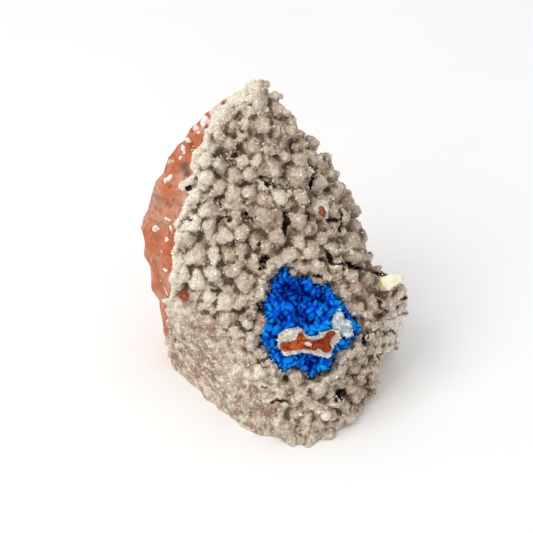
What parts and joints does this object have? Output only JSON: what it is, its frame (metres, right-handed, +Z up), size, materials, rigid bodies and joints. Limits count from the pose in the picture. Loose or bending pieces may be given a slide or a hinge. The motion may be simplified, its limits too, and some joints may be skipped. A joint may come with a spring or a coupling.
{
  "type": "mineral specimen",
  "caption": "Cavansite specimen: a wreath of blue crystals in a hollow of a lumpy grey-beige crust on red-brown basalt, standing on its broken foot.",
  "frame": {"origin": "on the ground, under the middle of the specimen's bounding box", "axes": "+Z up from the flat broken foot to the tip; the crusted face with the blue crystals looks towards -Y and up; +X to the viewer's right"},
  "size_m": [0.0614, 0.0474, 0.0757],
  "materials": {
    "matrix": "rough broken basalt",
    "crust": "sugary crystal crust",
    "cavansite": "glassy crystal faces",
    "core_stub": "rough broken rock",
    "pale_crystal": "broken crystal, half gloss",
    "bead": "smooth, half gloss"
  },
  "bodies": {
    "root": {"matrix": "matrix", "crust": "crust", "cavansite": "cavansite", "core_stub": "core_stub", "pale_crystal": "pale_crystal", "bead": "bead"}
  },
  "joints": []
}
